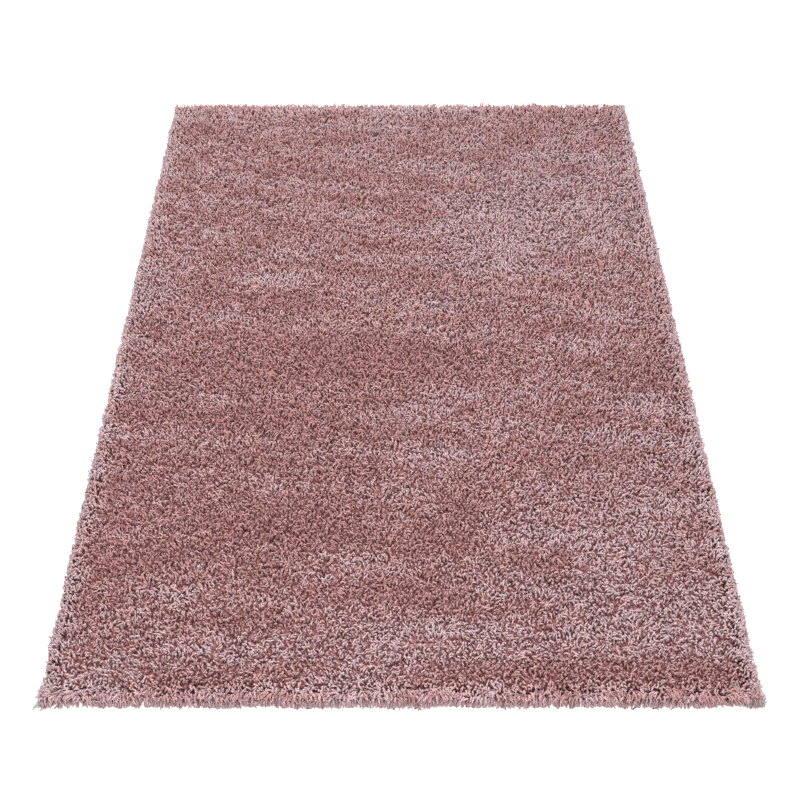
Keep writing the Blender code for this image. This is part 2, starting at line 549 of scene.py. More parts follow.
@dataclass(frozen=True)
class YarnFinish:
    """Twisted yarn, coloured by its map."""

    name: str
    deep: Colour
    middle: Colour
    pale: Colour
    warm: Colour
    cool: Colour
    # Groove and root are painted shade: they make the yarn darker and redder in its plies' grooves and towards
    # its root.
    groove: Colour
    root: Colour
    root_reach: float
    turns: float
    twist_depth: float
    sheen: float
    sheen_tint: Colour
    sheen_roughness: float = 0.50
    plies: float = 2.0
    ply_relief: float = 0.6
    roughness: float = 0.90
    specular: float = 0.12

    def material(self) -> bpy.types.Material:
        """Builds the material.

        Returns:
            The new material.
        """
        material, bench, shader = new_material(self.name, self.roughness, self.specular)
        yarn_map = bench.add("ShaderNodeUVMap", uv_map=YARN_MAP).outputs[0]
        twist = bench.group(Shared.PLY_TWIST, map=yarn_map, turns=self.turns, plies=self.plies)
        height = twist.outputs["Height"]
        yarn_colours = {colour_name: opaque(getattr(self, colour_name)) for colour_name in YARN_COLOURS}
        shade = bench.group(
            Shared.YARN_SHADE, map=yarn_map, ridge=height, root_reach=self.root_reach, **yarn_colours
        )
        bench.relief(shader, height, self.ply_relief, self.twist_depth)
        bench.feed(shader.inputs["Base Color"], shade.outputs["Color"])
        shader.inputs["Sheen Weight"].default_value = self.sheen
        shader.inputs["Sheen Tint"].default_value = opaque(self.sheen_tint)
        shader.inputs["Sheen Roughness"].default_value = self.sheen_roughness
        return material


@dataclass(frozen=True)
class MattedFinish:
    """The tangle of yarn down among the roots, coloured as painted shade: near black between its fibres and a
    deep yarn pink on them.
    """

    name: str
    pit_shade: Colour
    light: Colour
    grain: float
    depth: float
    step: Span = (0.42, 0.58)
    strength: float = 0.9
    roughness: float = 0.95
    specular: float = 0.15

    def material(self) -> bpy.types.Material:
        """Builds the material.

        Returns:
            The new material.
        """
        material, bench, shader = new_material(self.name, self.roughness, self.specular)
        place = bench.add("ShaderNodeTexCoord").outputs["Object"]
        height = bench.group(Shared.FIBRE_FUZZ, place=place, grain=self.grain).outputs["Height"]
        bench.relief(shader, height, self.strength, self.depth)
        colour = bench.blend(bench.ramp(height, *self.step), opaque(self.pit_shade), opaque(self.light))
        bench.feed(shader.inputs["Base Color"], colour)
        return material


@dataclass(frozen=True)
class WeaveFinish:
    """Plain woven ground cloth: warp over weft at a fixed pitch, with fibre fuzz."""

    name: str
    thread: Colour
    gap: Colour
    pitch: float
    depth: float
    fuzz_grain: float
    fuzz_share: float = 0.35
    step: Span = (0.25, 0.85)
    strength: float = 0.8
    roughness: float = 0.9
    specular: float = 0.2

    def material(self) -> bpy.types.Material:
        """Builds the material.

        Returns:
            The new material.
        """
        material, bench, shader = new_material(self.name, self.roughness, self.specular)
        place = bench.add("ShaderNodeTexCoord").outputs["Object"]
        turn = math.pi / self.pitch
        warp, weft = (bench.math("SINE", bench.math("MULTIPLY", way, turn)) for way in bench.parts(place))
        over = bench.math("MULTIPLY_ADD", bench.math("MULTIPLY", warp, weft), 0.5, 0.5)
        fuzz = bench.group(Shared.FIBRE_FUZZ, place=place, grain=self.fuzz_grain).outputs["Height"]
        height = bench.math("MULTIPLY_ADD", fuzz, self.fuzz_share, over)
        bench.relief(shader, height, self.strength, self.depth)
        colour = bench.blend(bench.ramp(height, *self.step), opaque(self.gap), opaque(self.thread))
        bench.feed(shader.inputs["Base Color"], colour)
        return material


PILE_YARN = YarnFinish(
    name="pile_yarn_twisted",
    deep=(0.640, 0.390, 0.385),
    middle=(0.760, 0.523, 0.523),
    pale=(0.762, 0.612, 0.630),
    warm=(1.00, 0.980, 0.955),
    cool=(0.98, 0.988, 1.025),
    groove=(0.54, 0.335, 0.328),
    root=(0.50, 0.190, 0.184),
    root_reach=0.58,
    turns=5.0,
    twist_depth=0.0010,
    sheen=0.10,
    sheen_tint=(0.92, 0.80, 0.83),
)
# The rim's yarn is the pile's yarn painted darker and greyer, as painted shade for the hanging locks, which the
# lamps light more fully than the pile's top; its root shade is paler and reaches further up.
RIM_YARN = replace(
    PILE_YARN,
    name="pile_yarn_rim_painted_shade",
    deep=(0.466, 0.291, 0.295),
    middle=(0.563, 0.422, 0.436),
    pale=(0.655, 0.558, 0.588),
    root=(0.55, 0.310, 0.305),
    root_reach=0.72,
)
HEM_YARN = YarnFinish(
    name="ground_cloth_thread",
    deep=(0.35, 0.352, 0.338),
    middle=(0.45, 0.453, 0.436),
    pale=(0.57, 0.573, 0.558),
    warm=(1.00, 0.990, 0.960),
    cool=(0.98, 1.000, 1.000),
    groove=(0.70, 0.710, 0.690),
    root=(0.70, 0.680, 0.650),
    root_reach=0.40,
    turns=6.0,
    twist_depth=0.0004,
    sheen=0.20,
    sheen_tint=(0.90, 0.92, 0.90),
)
# The tangle's colours are painted shade of the deep pile: a deep yarn pink on its fibres, and near black in the
# pits between them.
MATTED_ROOTS = MattedFinish(
    name="pile_matted_roots",
    pit_shade=(0.08, 0.026, 0.025),
    light=(0.51, 0.238, 0.232),
    grain=210.0,
    depth=0.004,
)
GROUND_WEAVE = WeaveFinish(
    name="ground_cloth_plain_weave",
    thread=(0.41, 0.410, 0.392),
    gap=(0.19, 0.190, 0.178),
    pitch=0.0024,
    depth=0.0006,
    fuzz_grain=900.0,
)


# ------------------------------------------------------------------ making meshes


def in_scene(thing: bpy.types.Object) -> bpy.types.Object:
    """Links a new object to the scene, and hands it back."""
    bpy.context.scene.collection.objects.link(thing)
    return thing


def grid_faces(shape: tuple[int, int]) -> list[list[int]]:
    """Joins a grid of points, numbered row by row, by quads.

    Args:
        shape: How many rows and columns of points there are.

    Returns:
        The four points of each quad.
    """
    number = np.arange(shape[0] * shape[1]).reshape(shape)
    quads = np.stack([number[:-1, :-1], number[:-1, 1:], number[1:, 1:], number[1:, :-1]], axis=2)
    return quads.reshape(-1, 4).tolist()


def dress(piece: bpy.types.Object, material: bpy.types.Material) -> bpy.types.Object:
    """Gives a piece its material and its place in the frame.

    Args:
        piece: The piece.
        material: What it is made of.

    Returns:
        The same piece.
    """
    piece.data.materials.append(material)
    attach(piece, "root")
    return piece


@dataclass
class Strands:
    """Many strands of yarn, each a smooth arc from its root over a knee to its tip."""

    root: Points
    knee: Points
    tip: Points
    sway: Points
    radius: Points
    tone: Points
    cool: Points

    def __len__(self) -> int:
        """How many strands there are."""
        return len(self.radius)

    def only(self, chosen: Points) -> "Strands":
        """The strands that a mask picks."""
        return Strands(*(getattr(self, each.name)[chosen] for each in fields(self)))

    @staticmethod
    def together(parts: list["Strands"]) -> "Strands":
        """All the strands of several sets in one."""
        gathered = ([getattr(part, each.name) for part in parts] for each in fields(Strands))
        return Strands(*(np.concatenate(arrays) for arrays in gathered))


@dataclass(frozen=True)
class YarnShape:
    """Where a strand's rings are along it, how thick it is there, and how far up the yarn it starts."""

    stations: tuple[float, ...]
    girths: tuple[float, ...]
    sides: int = 3
    starts_at: float = 0.0

    def grown(self, station: float) -> float:
        """How far up the yarn a ring is, from its root to its tip."""
        return self.starts_at + (1.0 - self.starts_at) * station


class YarnMesh:
    """Turns strands into one joined mesh of closed tubes, with the map that the yarn's finish reads."""

    CELL_MARGIN = 0.06
    FLOOR_CLEARANCE = 0.0003
    SWAY_TURN = 1.7 * math.pi

    def __init__(self, shape: YarnShape) -> None:
        """Takes the shape of its tubes."""
        self.shape = shape

    def centre_lines(self, strands: Strands) -> tuple[Points, Points, Points]:
        """Finds the line that each strand follows.

        Args:
            strands: The strands.

        Returns:
            The centre, and the directions across and up from it, each as strand by ring by axis.
        """
        place = np.array(self.shape.stations)[None, :, None]
        root, knee, tip = (part[:, None, :] for part in (strands.root, strands.knee, strands.tip))
        centre = (1 - place) ** 2 * root + 2 * place * (1 - place) * knee + place**2 * tip
        heading = 2 * (1 - place) * (knee - root) + 2 * place * (tip - knee)
        heading /= np.linalg.norm(heading, axis=2, keepdims=True)
        run = strands.tip - strands.root
        across = np.stack([-run[:, 1], run[:, 0], np.zeros(len(run))], axis=1)
        across /= np.maximum(np.linalg.norm(across, axis=1, keepdims=True), NO_LENGTH)
        across = np.broadcast_to(across[:, None, :], centre.shape)
        centre = centre + across * strands.sway[:, None, None] * np.sin(self.SWAY_TURN * place)
        return centre, across, np.cross(heading, across)

    def points(self, strands: Strands, draw: Draw) -> Points:
        """Rings of points round each strand, flattened where the yarn meets the floor.

        Args:
            strands: The strands.
            draw: The source of random numbers.

        Returns:
            The points, as strand by point by axis, ring by ring from the root on.
        """
        centre, across, upward = self.centre_lines(strands)
        start = draw.uniform(0.0, 2.0 * math.pi, len(strands))
        sides = np.arange(self.shape.sides) * 2.0 * math.pi / self.shape.sides
        angle = (start[:, None] + sides[None, :])[:, None, :, None]
        girth = strands.radius[:, None] * np.array(self.shape.girths)[None, :]
        spoke = np.cos(angle) * across[:, :, None, :] + np.sin(angle) * upward[:, :, None, :]
        rings = centre[:, :, None, :] + spoke * girth[:, :, None, None]
        rings[..., 2] = np.maximum(rings[..., 2], self.FLOOR_CLEARANCE)
        return rings.reshape(len(strands), -1, 3)

    def faces_of_one(self) -> tuple[list[tuple[int, ...]], list[tuple[Span, ...]]]:
        """Closes one strand's rings into a tube.

        Returns:
            Its faces by its own points' numbers, and how far round and along each corner of them is.
        """
        sides = self.shape.sides
        stations = [self.shape.grown(station) for station in self.shape.stations]
        around = [side / sides for side in range(sides)]
        faces: list[tuple[int, ...]] = [tuple(reversed(range(sides)))]
        places = [tuple((share, stations[0]) for share in reversed(around))]
        for ring, (start, end) in enumerate(zip(stations, stations[1:])):
            near, far = ring * sides, (ring + 1) * sides
            for side in range(sides):
                after = (side + 1) % sides
                low, high = side / sides, (side + 1) / sides
                faces.append((near + side, near + after, far + after, far + side))
                places.append(((low, start), (high, start), (high, end), (low, end)))
        last = (len(stations) - 1) * sides
        faces.append(tuple(last + side for side in range(sides)))
        places.append(tuple((share, stations[-1]) for share in around))
        return faces, places

    def mesh_of(self, name: str, points: Points, faces: list[tuple[int, ...]]) -> bpy.types.Mesh:
        """Repeats one strand's faces over all of them.

        Args:
            name: The mesh's name.
            points: Every strand's points.
            faces: One strand's faces.

        Returns:
            The new mesh, without its map.
        """
        count, each = points.shape[:2]
        corners = np.array([corner for face in faces for corner in face])
        loops = (corners[None, :] + np.arange(count)[:, None] * each).ravel()
        sizes = np.tile([len(face) for face in faces], count)
        starts = np.concatenate([[0], np.cumsum(sizes)[:-1]])
        mesh = bpy.data.meshes.new(name)
        mesh.vertices.add(count * each)
        mesh.vertices.foreach_set("co", points.astype(np.float32).ravel())
        mesh.loops.add(len(loops))
        mesh.loops.foreach_set("vertex_index", loops.astype(np.int32))
        mesh.polygons.add(len(sizes))
        mesh.polygons.foreach_set("loop_start", starts.astype(np.int32))
        mesh.polygons.foreach_set("use_smooth", np.ones(len(sizes), bool))
        mesh.update(calc_edges=True)
        return mesh

    def lay_map(self, mesh: bpy.types.Mesh, strands: Strands, places: list[tuple[Span, ...]]) -> None:
        """Puts each strand in its tone's cell of the yarn's map.

        Args:
            mesh: The mesh of all the strands.
            strands: The strands.
            places: How far round and along each corner of one strand's faces is.
        """
        spots = np.array([spot for place in places for spot in place])
        around = between((self.CELL_MARGIN, 1.0 - self.CELL_MARGIN), spots[:, 0])
        cell = np.clip((strands.tone * TONES).astype(int), 0, TONES - 1) + TONES * (strands.cool > 0.5)
        across = (cell[:, None] + around[None, :]) / (TONES * CASTS)
        along = np.broadcast_to(spots[None, :, 1], across.shape)
        layer = mesh.uv_layers.new(name=YARN_MAP)
        layer.uv.foreach_set("vector", np.stack([across, along], axis=2).astype(np.float32).ravel())

    def build(self, name: str, strands: Strands, draw: Draw) -> bpy.types.Object:
        """Makes the piece.

        Args:
            name: The piece's name.
            strands: What it is made of.
            draw: The source of random numbers.

        Returns:
            The new object, linked to the scene.
        """
        faces, places = self.faces_of_one()
        mesh = self.mesh_of(name, self.points(strands, draw), faces)
        self.lay_map(mesh, strands, places)
        mesh.validate()
        return in_scene(bpy.data.objects.new(name, mesh))


# ------------------------------------------------------------------ pile


@dataclass(frozen=True)
class Toning:
    """How pale a layer's yarn is, from 0 to 1: its middle, the painted light that its lay and a long side
    nearby add, and its scatter.
    """

    middle: float
    brushed: float
    side_light: float
    scatter: float

    def of(self, lay: Points, side_light: Points, draw: Draw) -> Points:
        """The tone of each yarn, with painted light from its lay and from how near a long side it is."""
        return self.middle + self.brushed * lay + self.side_light * side_light + draw.normal(0.0, self.scatter, len(lay))


@dataclass
class PileForm:
    """What all the yarn follows: the solid's top, the brushed lay, the round rim and the rug's outline."""

    draw: Draw
    yarn_radius: float = 0.0023
    mean_top: float = 0.0460
    row_stray: float = 0.32
    lay_ripples: tuple[Ripple, Ripple] = (Ripple(0.20, 0.34, 0.11), Ripple(0.20, 0.10, 0.045))
    cast_ripple: Ripple = Ripple(0.35, 0.06, 0.05)
    cast_by_lay: float = 0.30
    cast_scatter: float = 0.30
    border_reach: float = 0.078
    edge_reach: float = 0.060
    shoulder: float = 0.020
    fullness: float = 4.0
    outermost_root: float = 0.006
    rest_line: Span = (-0.009, 0.005)
    tip_limit: Span = (-0.006, 0.009)
    outline_ripples: tuple[Ripple, Ripple] = (Ripple(0.0020, 0.15, 0.15), Ripple(0.0010, 0.03, 0.03))

    def __post_init__(self) -> None:
        """Reads the solid that the yarn follows."""
        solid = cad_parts["pile"].data
        corners = [vert.co for vert in solid.vertices]
        self.solid = BVHTree.FromPolygons(corners, [tuple(face.vertices) for face in solid.polygons])

    def solid_top(self, x: Points, y: Points) -> Points:
        """Reads the height of the solid pile's top.

        Args:
            x: Places across the rug.
            y: Places along the rug.

        Returns:
            The height at each place, or the usual one where there is no solid.
        """
        down = Vector((0.0, 0.0, -1.0))
        heights = np.zeros(len(x))
        for number, (across, along) in enumerate(zip(x, y)):
            hit = self.solid.ray_cast(Vector((across, along, 1.0)), down)[0]
            heights[number] = hit.z if hit else self.mean_top
        return heights

    def rows(self, pitch: float, inset: Span) -> tuple[Points, Points]:
        """Places in rows over the whole rug, every other row offset and none of them quite straight.

        Args:
            pitch: How far apart they are in a row.
            inset: How far in from the sides and from the ends they stop.

        Returns:
            The places across and along the rug.
        """
        row_pitch = pitch * math.sqrt(0.75)
        x, y = np.meshgrid(
            np.arange(-HALF_WIDTH, HALF_WIDTH, pitch), np.arange(-HALF_LENGTH, HALF_LENGTH, row_pitch)
        )
        x[1::2] += pitch / 2
        x, y = x.ravel(), y.ravel()
        stray = self.draw.uniform(-self.row_stray, self.row_stray, (2, len(x))) * pitch
        x, y = x + stray[0], y + stray[1]
        kept = (np.abs(x) < HALF_WIDTH - inset[0]) & (np.abs(y) < HALF_LENGTH - inset[1])
        return x[kept], y[kept]

    def walk_rim(self, place: Points, inset: Points) -> tuple[Points, Points]:
        """Finds places by their way round the rug.

        Args:
            place: How far round the outline each is, from the front-left corner.
            inset: How far in from the outline each is.

        Returns:
            The places across and along the rug.
        """
        width, length = 2.0 * HALF_WIDTH, 2.0 * HALF_LENGTH
        front = place < width
        right = (place >= width) & (place < width + length)
        back = (place >= width + length) & (place < 2.0 * width + length)
        x = np.select(
            [front, right, back],
            [place - HALF_WIDTH, HALF_WIDTH - inset, HALF_WIDTH - (place - width - length)],
            inset - HALF_WIDTH,
        )
        y = np.select(
            [front, right, back],
            [inset - HALF_LENGTH, place - width - HALF_LENGTH, HALF_LENGTH - inset],
            HALF_LENGTH - (place - 2.0 * width - length),
        )
        limit_x, limit_y = HALF_WIDTH - self.outermost_root, HALF_LENGTH - self.outermost_root
        return np.clip(x, -limit_x, limit_x), np.clip(y, -limit_y, limit_y)

    def lay(self, x: Points, y: Points) -> Points:
        """Finds how far the pile is brushed down.

        Args:
            x: Places across the rug.
            y: Places along the rug.

        Returns:
            The lay at each place, from -1 to 1.
        """
        draw = Seed.LAY.draw()
        total = sum(ripple.at(x, y, draw) for ripple in self.lay_ripples)
        for patch in BRUSHED:
            away = ((x - patch.x) / patch.reach_x) ** 2 + ((y - patch.y) / patch.reach_y) ** 2
            total += patch.lay * np.exp(-0.5 * away)
        return np.clip(total, -1.0, 1.0)

    def cast(self, x: Points, y: Points, lay: Points) -> Points:
        """A value above 0.5 for each yarn with the cool cast: most that is combed flat, in small drifts."""
        drifts = self.cast_ripple.at(x, y, Seed.CAST.draw())
        return 0.5 + self.cast_by_lay * lay + drifts + self.draw.normal(0.0, self.cast_scatter, len(x))

    def beside(self, x: Points) -> Points:
        """How near each place is to a long side, where painted light makes the yarn paler: 1 at the side
        itself.
        """
        return nearness(HALF_WIDTH - np.abs(x), self.border_reach)

    def rim_profile(self, inset: Points) -> Points:
        """Height of the pile at each distance in from its edge, where it rounds down to the floor."""
        rounded = nearness(inset, self.shoulder) ** self.fullness
        return self.mean_top * (1.0 - rounded) ** (1.0 / self.fullness)

    def rim_way(self, x: Points, y: Points, turn: Points) -> tuple[Points, Points]:
        """Direction from each place of the rim to its edge, turned by an angle."""
        way_x, way_y = outward(x, y)
        return way_x * np.cos(turn) - way_y * np.sin(turn), way_x * np.sin(turn) + way_y * np.cos(turn)

    def wander(self, x: Points, y: Points) -> Points:
        """How far the rug's outline strays outwards beside each place."""
        draw = Seed.OUTLINE.draw()
        return sum(ripple.at(x, y, draw) for ripple in self.outline_ripples)

    def way_to_edge(self, x: Points, y: Points, way_x: Points, way_y: Points) -> Points:
        """How far it is from each place to where the rim's yarn comes to rest on the floor.

        Args:
            x: Places across the rug.
            y: Places along the rug.
            way_x: The direction's part across.
            way_y: The direction's part along.

        Returns:
            The distance in that direction.
        """
        steep_x, steep_y = (np.where(np.abs(way) < NO_SLOPE, NO_SLOPE, way) for way in (way_x, way_y))
        wander = self.wander(x, y)
        to_side = (np.sign(steep_x) * (HALF_WIDTH + self.rest_line[0] + wander) - x) / steep_x
        to_end = (np.sign(steep_y) * (HALF_LENGTH + self.rest_line[1] + wander) - y) / steep_y
        return np.minimum(to_side, to_end)

    def held(self, strands: Strands) -> Strands:
        """Keeps every part of the strands within what the rug's edge allows.

        Args:
            strands: The strands, which are changed.

        Returns:
            The same strands.
        """
        limit_x = HALF_WIDTH + self.tip_limit[0] + self.wander(strands.root[:, 0], strands.root[:, 1])
        limit_y = HALF_LENGTH + self.tip_limit[1]
        for points in (strands.root, strands.knee, strands.tip):
            points[:, 0] = np.clip(points[:, 0], -limit_x, limit_x)
            points[:, 1] = np.clip(points[:, 1], -limit_y, limit_y)
        return strands


@dataclass
class YarnLayer:
    """A layer of the pile's yarn, made as one joined piece for each of several stretches of the rug."""

    form: PileForm
    name: str
    shape: YarnShape
    toning: Toning
    girth: Span
    zones: int = 1

    def strands(self) -> Strands:
        """Says where its strands run, each layer in its own way."""
        raise NotImplementedError

    def build(self) -> list[bpy.types.Object]:
        """Makes its pieces, from the front of the rug back.

        Returns:
            One new object for each stretch.
        """
        strands = self.strands()
        edges = np.linspace(-HALF_LENGTH, HALF_LENGTH, self.zones + 1)
        maker = YarnMesh(self.shape)
        pieces = []
        for zone in range(self.zones):
            inside = (strands.root[:, 1] >= edges[zone]) & (strands.root[:, 1] < edges[zone + 1])
            pieces.append(maker.build(f"{self.name}_{zone + 1}", strands.only(inside), self.form.draw))
        return pieces


@dataclass
class FieldYarn(YarnLayer):
    """The long yarn: near neighbours curl the same way, each strays a little, and brushed yarn lies over."""

    name: str = "field_yarn"
    shape: YarnShape = YarnShape((0.0, 0.54, 1.0), (0.90, 1.0, 0.80))
    toning: Toning = Toning(middle=0.48, brushed=1.06, side_light=0.80, scatter=0.06)
    girth: Span = (0.85, 1.12)
    zones: int = 4
    pitch: float = 0.0093
    inset: Span = (0.009, 0.005)
    root_height: float = 0.020
    curls: tuple[Ripple, Ripple] = (Ripple(0.0042, 0.045, 0.045), Ripple(0.0030, 0.045, 0.045))
    strays: Span = (0.0052, 0.0036)
    straighter_at_edge: float = 0.5
    drift: Ripple = Ripple(2.2, 0.30, 0.18)
    lean: float = 0.003
    lay_lean: float = 0.005
    border_lean: float = 0.003
    edge_leans: Span = (0.007, 0.014)
    solid_mean: float = 0.0425
    solid_least: float = 0.036
    lump_share: float = 0.60
    uneven: Ripple = Ripple(0.0022, 0.040, 0.035)
    uneven_scatter: float = 0.0016
    evener_at_edge: float = 0.6
    rise_at_edge: float = 0.0078
    lay_drop: float = 0.004
    bend_run: float = 0.016
    bend_most: float = 1.4
    droop_most: float = 0.011
    firmer_at_edge: float = 0.8
    droop_at_edge: float = 0.0070
    knee_share: Span = (0.05, 0.45)
    knee_rise: Span = (1.05, 1.25)
    stouter_at_edge: float = 0.20
    sway: float = 0.0022
    tone_ripple: Ripple = Ripple(0.14, 0.05, 0.035)
    border_light: float = 0.04
    crest_shade: float = 0.70
    crest_steepness: int = 6
    side_spared: float = 0.5

    def runs(self, x: Points, y: Points, lay: Points, edge: Points) -> tuple[Points, Points]:
        """Finds how far each tip is from its root.

        Args:
            x: The roots' places across the rug.
            y: The roots' places along the rug.
            lay: Their lay.
            edge: How near they are to the rug's edge.

        Returns:
            How far across and how far along.
        """
        draw = self.form.draw
        curl_x, curl_y = (curl.at(x, y, draw) for curl in self.curls)
        loose = 1.0 - self.straighter_at_edge * edge
        stray_x, stray_y = (draw.normal(0.0, stray, len(x)) * loose for stray in self.strays)
        drift = self.drift.at(x, y, draw) - 0.5 * math.pi
        lean = self.lean + self.lay_lean * lay
        border = nearness(inset_of(x, y), self.form.border_reach)
        push_x, push_y = (self.border_lean * border + edge_lean * edge for edge_lean in self.edge_leans)
        way_x, way_y = outward(x, y)
        run_x = curl_x + stray_x + lean * np.cos(drift) + push_x * way_x
        run_y = curl_y + stray_y + lean * np.sin(drift) + push_y * way_y
        return run_x, run_y

    def peaks(self, x: Points, y: Points, lay: Points, edge: Points) -> Points:
        """Finds how high each strand stands: with the solid's lumps, and a little uneven.

        Args:
            x: The roots' places across the rug.
            y: The roots' places along the rug.
            lay: Their lay.
            edge: How near they are to the rug's edge.

        Returns:
            The height of each.
        """
        lumps = np.maximum(self.form.solid_top(x, y), self.solid_least) - self.solid_mean
        peak = self.form.rim_profile(inset_of(x, y)) + self.lump_share * lumps
        draw = self.form.draw
        uneven = self.uneven.at(x, y, draw) + draw.normal(0.0, self.uneven_scatter, len(x))
        peak += uneven * (1.0 - self.evener_at_edge * edge) + self.rise_at_edge * edge**2
        return peak - self.lay_drop * np.maximum(lay, 0.0)

    def tones(self, x: Points, y: Points, lay: Points, edge: Points) -> Points:
        """Finds how pale each strand is, with painted light and shade: paler where brushed flat, beside the
        long sides and near every edge, and deeper on the rim's crest.

        Args:
            x: The roots' places across the rug.
            y: The roots' places along the rug.
            lay: Their lay.
            edge: How near they are to the rug's edge.

        Returns:
            The tone of each, from 0 to 1.
        """
        beside = self.form.beside(x)
        border = nearness(inset_of(x, y), self.form.border_reach)
        ripple = self.tone_ripple.at(x, y, self.form.draw)
        # Painted light: paler where brushed flat, beside the long sides and near every edge.
        tone = self.toning.of(lay, beside, self.form.draw) + ripple + self.border_light * border
        # Painted shade: deeper on the rim's crest, less so beside the long sides.
        return tone - self.crest_shade * (1.0 - self.side_spared * beside) * edge**self.crest_steepness

    def strands(self) -> Strands:
        """Lays out the strands.

        Returns:
            Every strand, from the front back.
        """
        form, draw = self.form, self.form.draw
        x, y = form.rows(self.pitch, self.inset)
        count = len(x)
        edge = nearness(inset_of(x, y), form.edge_reach)
        lay = form.lay(x, y)
        run_x, run_y = self.runs(x, y, lay, edge)
        height = self.peaks(x, y, lay, edge) - self.root_height
        bent = np.minimum(np.hypot(run_x, run_y) / self.bend_run, self.bend_most)
        droop = bent * draw.uniform(0.0, self.droop_most, count) * (1.0 - self.firmer_at_edge * edge)
        droop += self.droop_at_edge * edge
        root = np.stack([x, y, np.full(count, self.root_height)], axis=1)
        tip = root + np.stack([run_x, run_y, height - droop], axis=1)
        share = draw.uniform(*self.knee_share, count)
        rise = height * draw.uniform(*self.knee_rise, count)
        knee = root + np.stack([run_x * share, run_y * share, rise], axis=1)
        radius = form.yarn_radius * draw.uniform(*self.girth, count) * (1.0 + self.stouter_at_edge * edge)
        tone = self.tones(x, y, lay, edge)
        sway = draw.normal(0.0, self.sway, count)
        return form.held(Strands(root, knee, tip, sway, radius, tone, form.cast(x, y, lay)))


@dataclass
class UnderYarn(YarnLayer):
    """Short yarn between the long, which fills the gaps that it leaves."""

    name: str = "under_yarn"
    shape: YarnShape = YarnShape((0.0, 1.0), (1.0, 0.85))
    # Its middle tone sits below the long yarn's as painted shade, for yarn low among the long; it is paler near
    # the edge.
    toning: Toning = Toning(middle=0.38, brushed=0.78, side_light=0.40, scatter=0.08)
    girth: Span = (1.00, 1.25)
    zones: int = 2
    pitch: float = 0.0141
    inset: Span = (0.009, 0.008)
    root_height: float = 0.021
    top: Span = (0.031, 0.040)
    reach: Span = (0.008, 0.018)
    rise_at_edge: float = 0.008
    stouter_at_edge: float = 0.25
    paler_at_edge: float = 0.25

    def strands(self) -> Strands:
        """Lays out the strands.

        Returns:
            Every strand, from the front back.
        """
        form, draw = self.form, self.form.draw
        x, y = form.rows(self.pitch, self.inset)
        count = len(x)
        lay = form.lay(x, y)
        angle = draw.uniform(0.0, 2.0 * math.pi, count)
        reach = draw.uniform(*self.reach, count)
        edge = nearness(inset_of(x, y), form.edge_reach)
        root = np.stack([x, y, np.full(count, self.root_height)], axis=1)
        rise = draw.uniform(*self.top, count) + self.rise_at_edge * edge - self.root_height
        tip = root + np.stack([np.cos(angle) * reach, np.sin(angle) * reach, rise], axis=1)
        radius = form.yarn_radius * draw.uniform(*self.girth, count) * (1.0 + self.stouter_at_edge * edge)
        tone = self.toning.of(lay, form.beside(x), draw) + self.paler_at_edge * edge
        cool = form.cast(x, y, lay)
        return form.held(Strands(root, (root + tip) / 2, tip, np.zeros(count), radius, tone, cool))


